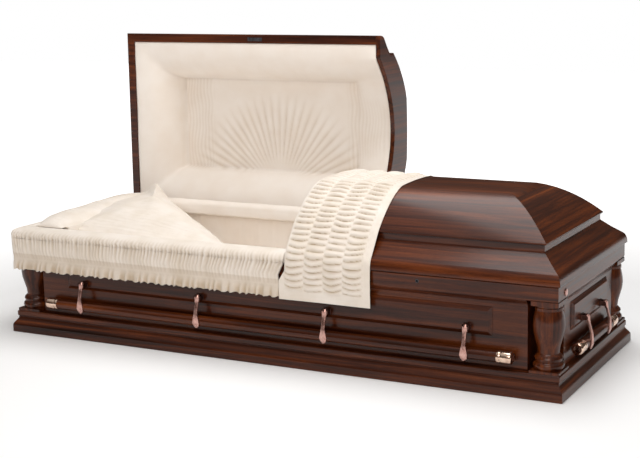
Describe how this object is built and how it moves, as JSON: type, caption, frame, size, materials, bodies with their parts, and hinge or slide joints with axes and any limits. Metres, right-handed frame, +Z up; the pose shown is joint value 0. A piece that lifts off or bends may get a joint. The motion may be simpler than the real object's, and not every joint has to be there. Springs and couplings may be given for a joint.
{
  "type": "funeral casket",
  "caption": "Half-couch hardwood funeral casket with hipped lids, turned corner columns, swing bar handles and a pleated cloth interior, head lid open.",
  "frame": {"origin": "on the floor plane, at the middle of the underside", "axes": "+X along the length towards the foot end, -Y towards the open front, hinges at +Y, +Z up"},
  "size_m": [2.1584, 1.0085, 1.0636],
  "materials": {
    "dark_walnut": "dark stained hardwood under high gloss lacquer",
    "rose_bronze": "satin rose bronze plating on cast metal",
    "dark_steel": "darkened steel",
    "cream_cloth": "cream crepe and satin over light stuffing"
  },
  "bodies": {
    "box": {"bottom_board": "dark_walnut", "base_moulding": "dark_walnut", "front_side": "dark_walnut", "back_side": "dark_walnut", "head_end": "dark_walnut", "foot_end": "dark_walnut", "top_rail": "dark_walnut", "front_panel": "dark_walnut", "back_panel": "dark_walnut", "head_panel": "dark_walnut", "foot_panel": "dark_walnut", "front_head_column": "dark_walnut", "front_foot_column": "dark_walnut", "back_head_column": "dark_walnut", "back_foot_column": "dark_walnut", "lock_socket": "dark_steel", "record_tube_cap": "rose_bronze", "front_handle_lug_1": "rose_bronze", "front_handle_lug_2": "rose_bronze", "front_handle_lug_3": "rose_bronze", "front_handle_lug_4": "rose_bronze", "back_handle_lug_1": "rose_bronze", "back_handle_lug_2": "rose_bronze", "back_handle_lug_3": "rose_bronze", "back_handle_lug_4": "rose_bronze", "head_handle_lug_1": "rose_bronze", "head_handle_lug_2": "rose_bronze", "foot_handle_lug_1": "rose_bronze", "foot_handle_lug_2": "rose_bronze", "body_lining": "cream_cloth", "mattress": "cream_cloth", "pillow": "cream_cloth", "skirt": "cream_cloth", "back_roll": "cream_cloth"},
    "head_lid": {"head_lid_shell": "dark_walnut", "head_lid_header": "dark_walnut", "head_lid_hinge": "rose_bronze", "head_lid_lining": "cream_cloth", "latch_plate": "dark_steel"},
    "foot_lid": {"foot_lid_shell": "dark_walnut", "foot_lid_header": "dark_walnut", "foot_lid_hinge": "rose_bronze", "foot_lid_lining": "cream_cloth", "throw": "cream_cloth"},
    "front_handle": {"front_handle_bar": "dark_walnut", "front_handle_arm_1": "rose_bronze", "front_handle_arm_2": "rose_bronze", "front_handle_arm_3": "rose_bronze", "front_handle_arm_4": "rose_bronze"},
    "back_handle": {"back_handle_bar": "dark_walnut", "back_handle_arm_1": "rose_bronze", "back_handle_arm_2": "rose_bronze", "back_handle_arm_3": "rose_bronze", "back_handle_arm_4": "rose_bronze"},
    "head_handle": {"head_handle_bar": "dark_walnut", "head_handle_arm_1": "rose_bronze", "head_handle_arm_2": "rose_bronze"},
    "foot_handle": {"foot_handle_bar": "dark_walnut", "foot_handle_arm_1": "rose_bronze", "foot_handle_arm_2": "rose_bronze"}
  },
  "joints": [
    {"name": "head_lid_swing", "type": "hinge", "parent": "box", "child": "head_lid", "pos_m": [-0.478, 0.354, 0.342], "axis": [-1, 0, 0], "range_deg": [-91, 0], "deforming": ["skirt", "back_roll", "pillow"]},
    {"name": "foot_lid_swing", "type": "hinge", "parent": "box", "child": "foot_lid", "pos_m": [0.576, 0.354, 0.342], "axis": [-1, 0, 0], "range_deg": [0, 90]},
    {"name": "front_handle_swing", "type": "hinge", "parent": "box", "child": "front_handle", "pos_m": [0, -0.369, 0.203], "axis": [-1, 0, 0], "range_deg": [0, 75]},
    {"name": "back_handle_swing", "type": "hinge", "parent": "box", "child": "back_handle", "pos_m": [0, 0.369, 0.203], "axis": [1, 0, 0], "range_deg": [0, 75]},
    {"name": "head_handle_swing", "type": "hinge", "parent": "box", "child": "head_handle", "pos_m": [-1.0535, 0, 0.203], "axis": [0, 1, 0], "range_deg": [0, 75]},
    {"name": "foot_handle_swing", "type": "hinge", "parent": "box", "child": "foot_handle", "pos_m": [1.0535, 0, 0.203], "axis": [0, -1, 0], "range_deg": [0, 75]}
  ]
}
